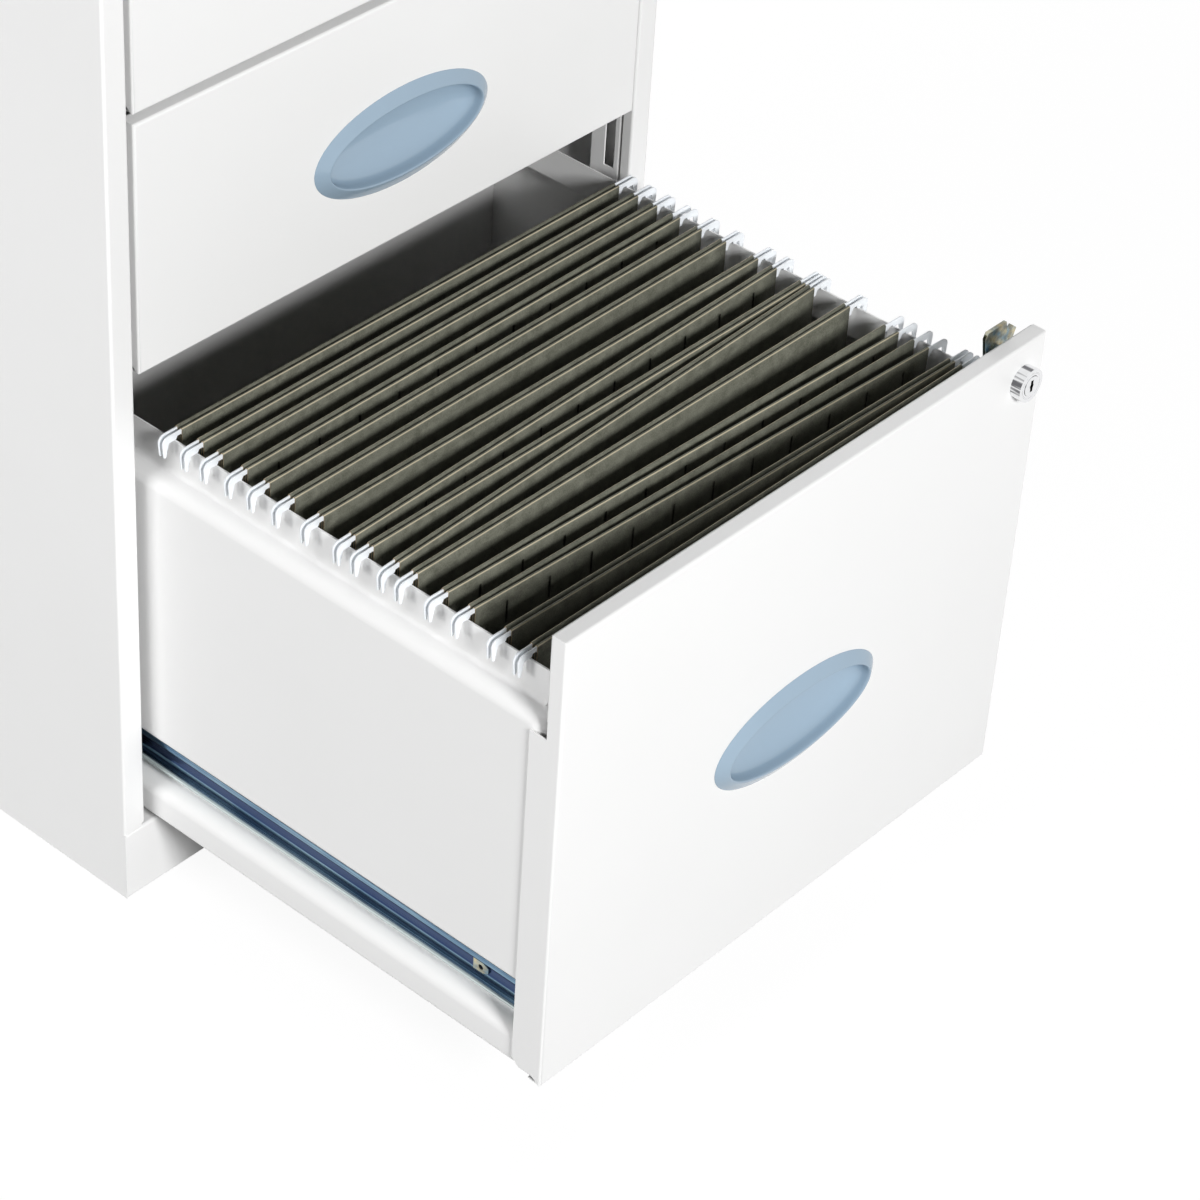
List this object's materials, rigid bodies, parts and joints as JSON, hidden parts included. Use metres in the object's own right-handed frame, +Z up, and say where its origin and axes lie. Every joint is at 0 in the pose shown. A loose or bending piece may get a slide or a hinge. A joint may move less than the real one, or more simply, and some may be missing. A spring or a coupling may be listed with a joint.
{
  "type": "filing cabinet",
  "caption": "White steel pedestal filing cabinet: shallow drawers over a deep drawer for hanging files, oval blue recessed pulls, ball runners and a cam lock.",
  "frame": {"origin": "on the floor, at the middle of the cabinet's footprint", "axes": "+Z up, -Y out of the drawers' fronts, +X to the right of someone facing the fronts"},
  "size_m": [0.46, 0.7969, 0.75],
  "materials": {
    "white_steel": "satin white powder coat",
    "zinc_steel": "blue-clear zinc plating",
    "yellow_zinc": "yellow zinc plating",
    "blue_plastic": "gloss, moulded",
    "lock_chrome": "polished",
    "folder_card": "matte card",
    "bar_steel": "white coated"
  },
  "bodies": {
    "cabinet": {"left_side_panel": "white_steel", "right_side_panel": "white_steel", "back_panel": "white_steel", "top_cap": "white_steel", "base_pan": "white_steel", "front_left_upright": "white_steel", "front_right_upright": "white_steel", "rear_left_upright": "white_steel", "rear_right_upright": "white_steel", "file_left_cabinet_runner": "zinc_steel", "file_right_cabinet_runner": "zinc_steel", "middle_left_cabinet_runner": "zinc_steel", "middle_right_cabinet_runner": "zinc_steel", "top_left_cabinet_runner": "zinc_steel", "top_right_cabinet_runner": "zinc_steel"},
    "file_drawer": {"file_left_drawer_runner": "zinc_steel", "file_right_drawer_runner": "zinc_steel", "file_runner_clips": "yellow_zinc", "file_front": "white_steel", "file_inner_front": "white_steel", "file_left_side": "white_steel", "file_right_side": "white_steel", "file_back": "white_steel", "file_bottom": "white_steel", "file_handle": "blue_plastic", "file_bars": "bar_steel", "file_folders": "folder_card", "lock_housing": "lock_chrome", "lock_nut": "zinc_steel"},
    "middle_drawer": {"middle_left_drawer_runner": "zinc_steel", "middle_right_drawer_runner": "zinc_steel", "middle_runner_clips": "yellow_zinc", "middle_front": "white_steel", "middle_inner_front": "white_steel", "middle_left_side": "white_steel", "middle_right_side": "white_steel", "middle_back": "white_steel", "middle_bottom": "white_steel", "middle_handle": "blue_plastic"},
    "top_drawer": {"top_left_drawer_runner": "zinc_steel", "top_right_drawer_runner": "zinc_steel", "top_runner_clips": "yellow_zinc", "top_front": "white_steel", "top_inner_front": "white_steel", "top_left_side": "white_steel", "top_right_side": "white_steel", "top_back": "white_steel", "top_bottom": "white_steel", "top_handle": "blue_plastic"},
    "file_cages": {"file_left_ball_cage": "yellow_zinc", "file_right_ball_cage": "yellow_zinc"},
    "middle_cages": {"middle_left_ball_cage": "yellow_zinc", "middle_right_ball_cage": "yellow_zinc"},
    "top_cages": {"top_left_ball_cage": "yellow_zinc", "top_right_ball_cage": "yellow_zinc"},
    "lock_cylinder": {"lock_plug": "lock_chrome", "lock_latch": "yellow_zinc", "latch_screw": "zinc_steel"}
  },
  "joints": [
    {"name": "file_drawer_slide", "type": "slide", "parent": "cabinet", "child": "file_drawer", "axis": [0, -1, 0], "range_m": [-0.3275, 0.0225]},
    {"name": "middle_drawer_slide", "type": "slide", "parent": "cabinet", "child": "middle_drawer", "axis": [0, -1, 0], "range_m": [0, 0.35]},
    {"name": "top_drawer_slide", "type": "slide", "parent": "cabinet", "child": "top_drawer", "axis": [0, -1, 0], "range_m": [0, 0.35]},
    {"name": "file_cage_slide", "type": "slide", "parent": "cabinet", "child": "file_cages", "axis": [0, -1, 0], "range_m": [-0.16375, 0.01125]},
    {"name": "middle_cage_slide", "type": "slide", "parent": "cabinet", "child": "middle_cages", "axis": [0, -1, 0], "range_m": [0, 0.175]},
    {"name": "top_cage_slide", "type": "slide", "parent": "cabinet", "child": "top_cages", "axis": [0, -1, 0], "range_m": [0, 0.175]},
    {"name": "lock_turn", "type": "hinge", "parent": "file_drawer", "child": "lock_cylinder", "pos_m": [0.19, -0.5575, 0.3575], "axis": [0, 1, 0], "range_deg": [0, 90]}
  ],
  "couplings": [
    {"joint": "file_cage_slide", "follows": "file_drawer_slide", "ratio": 0.5},
    {"joint": "middle_cage_slide", "follows": "middle_drawer_slide", "ratio": 0.5},
    {"joint": "top_cage_slide", "follows": "top_drawer_slide", "ratio": 0.5}
  ]
}
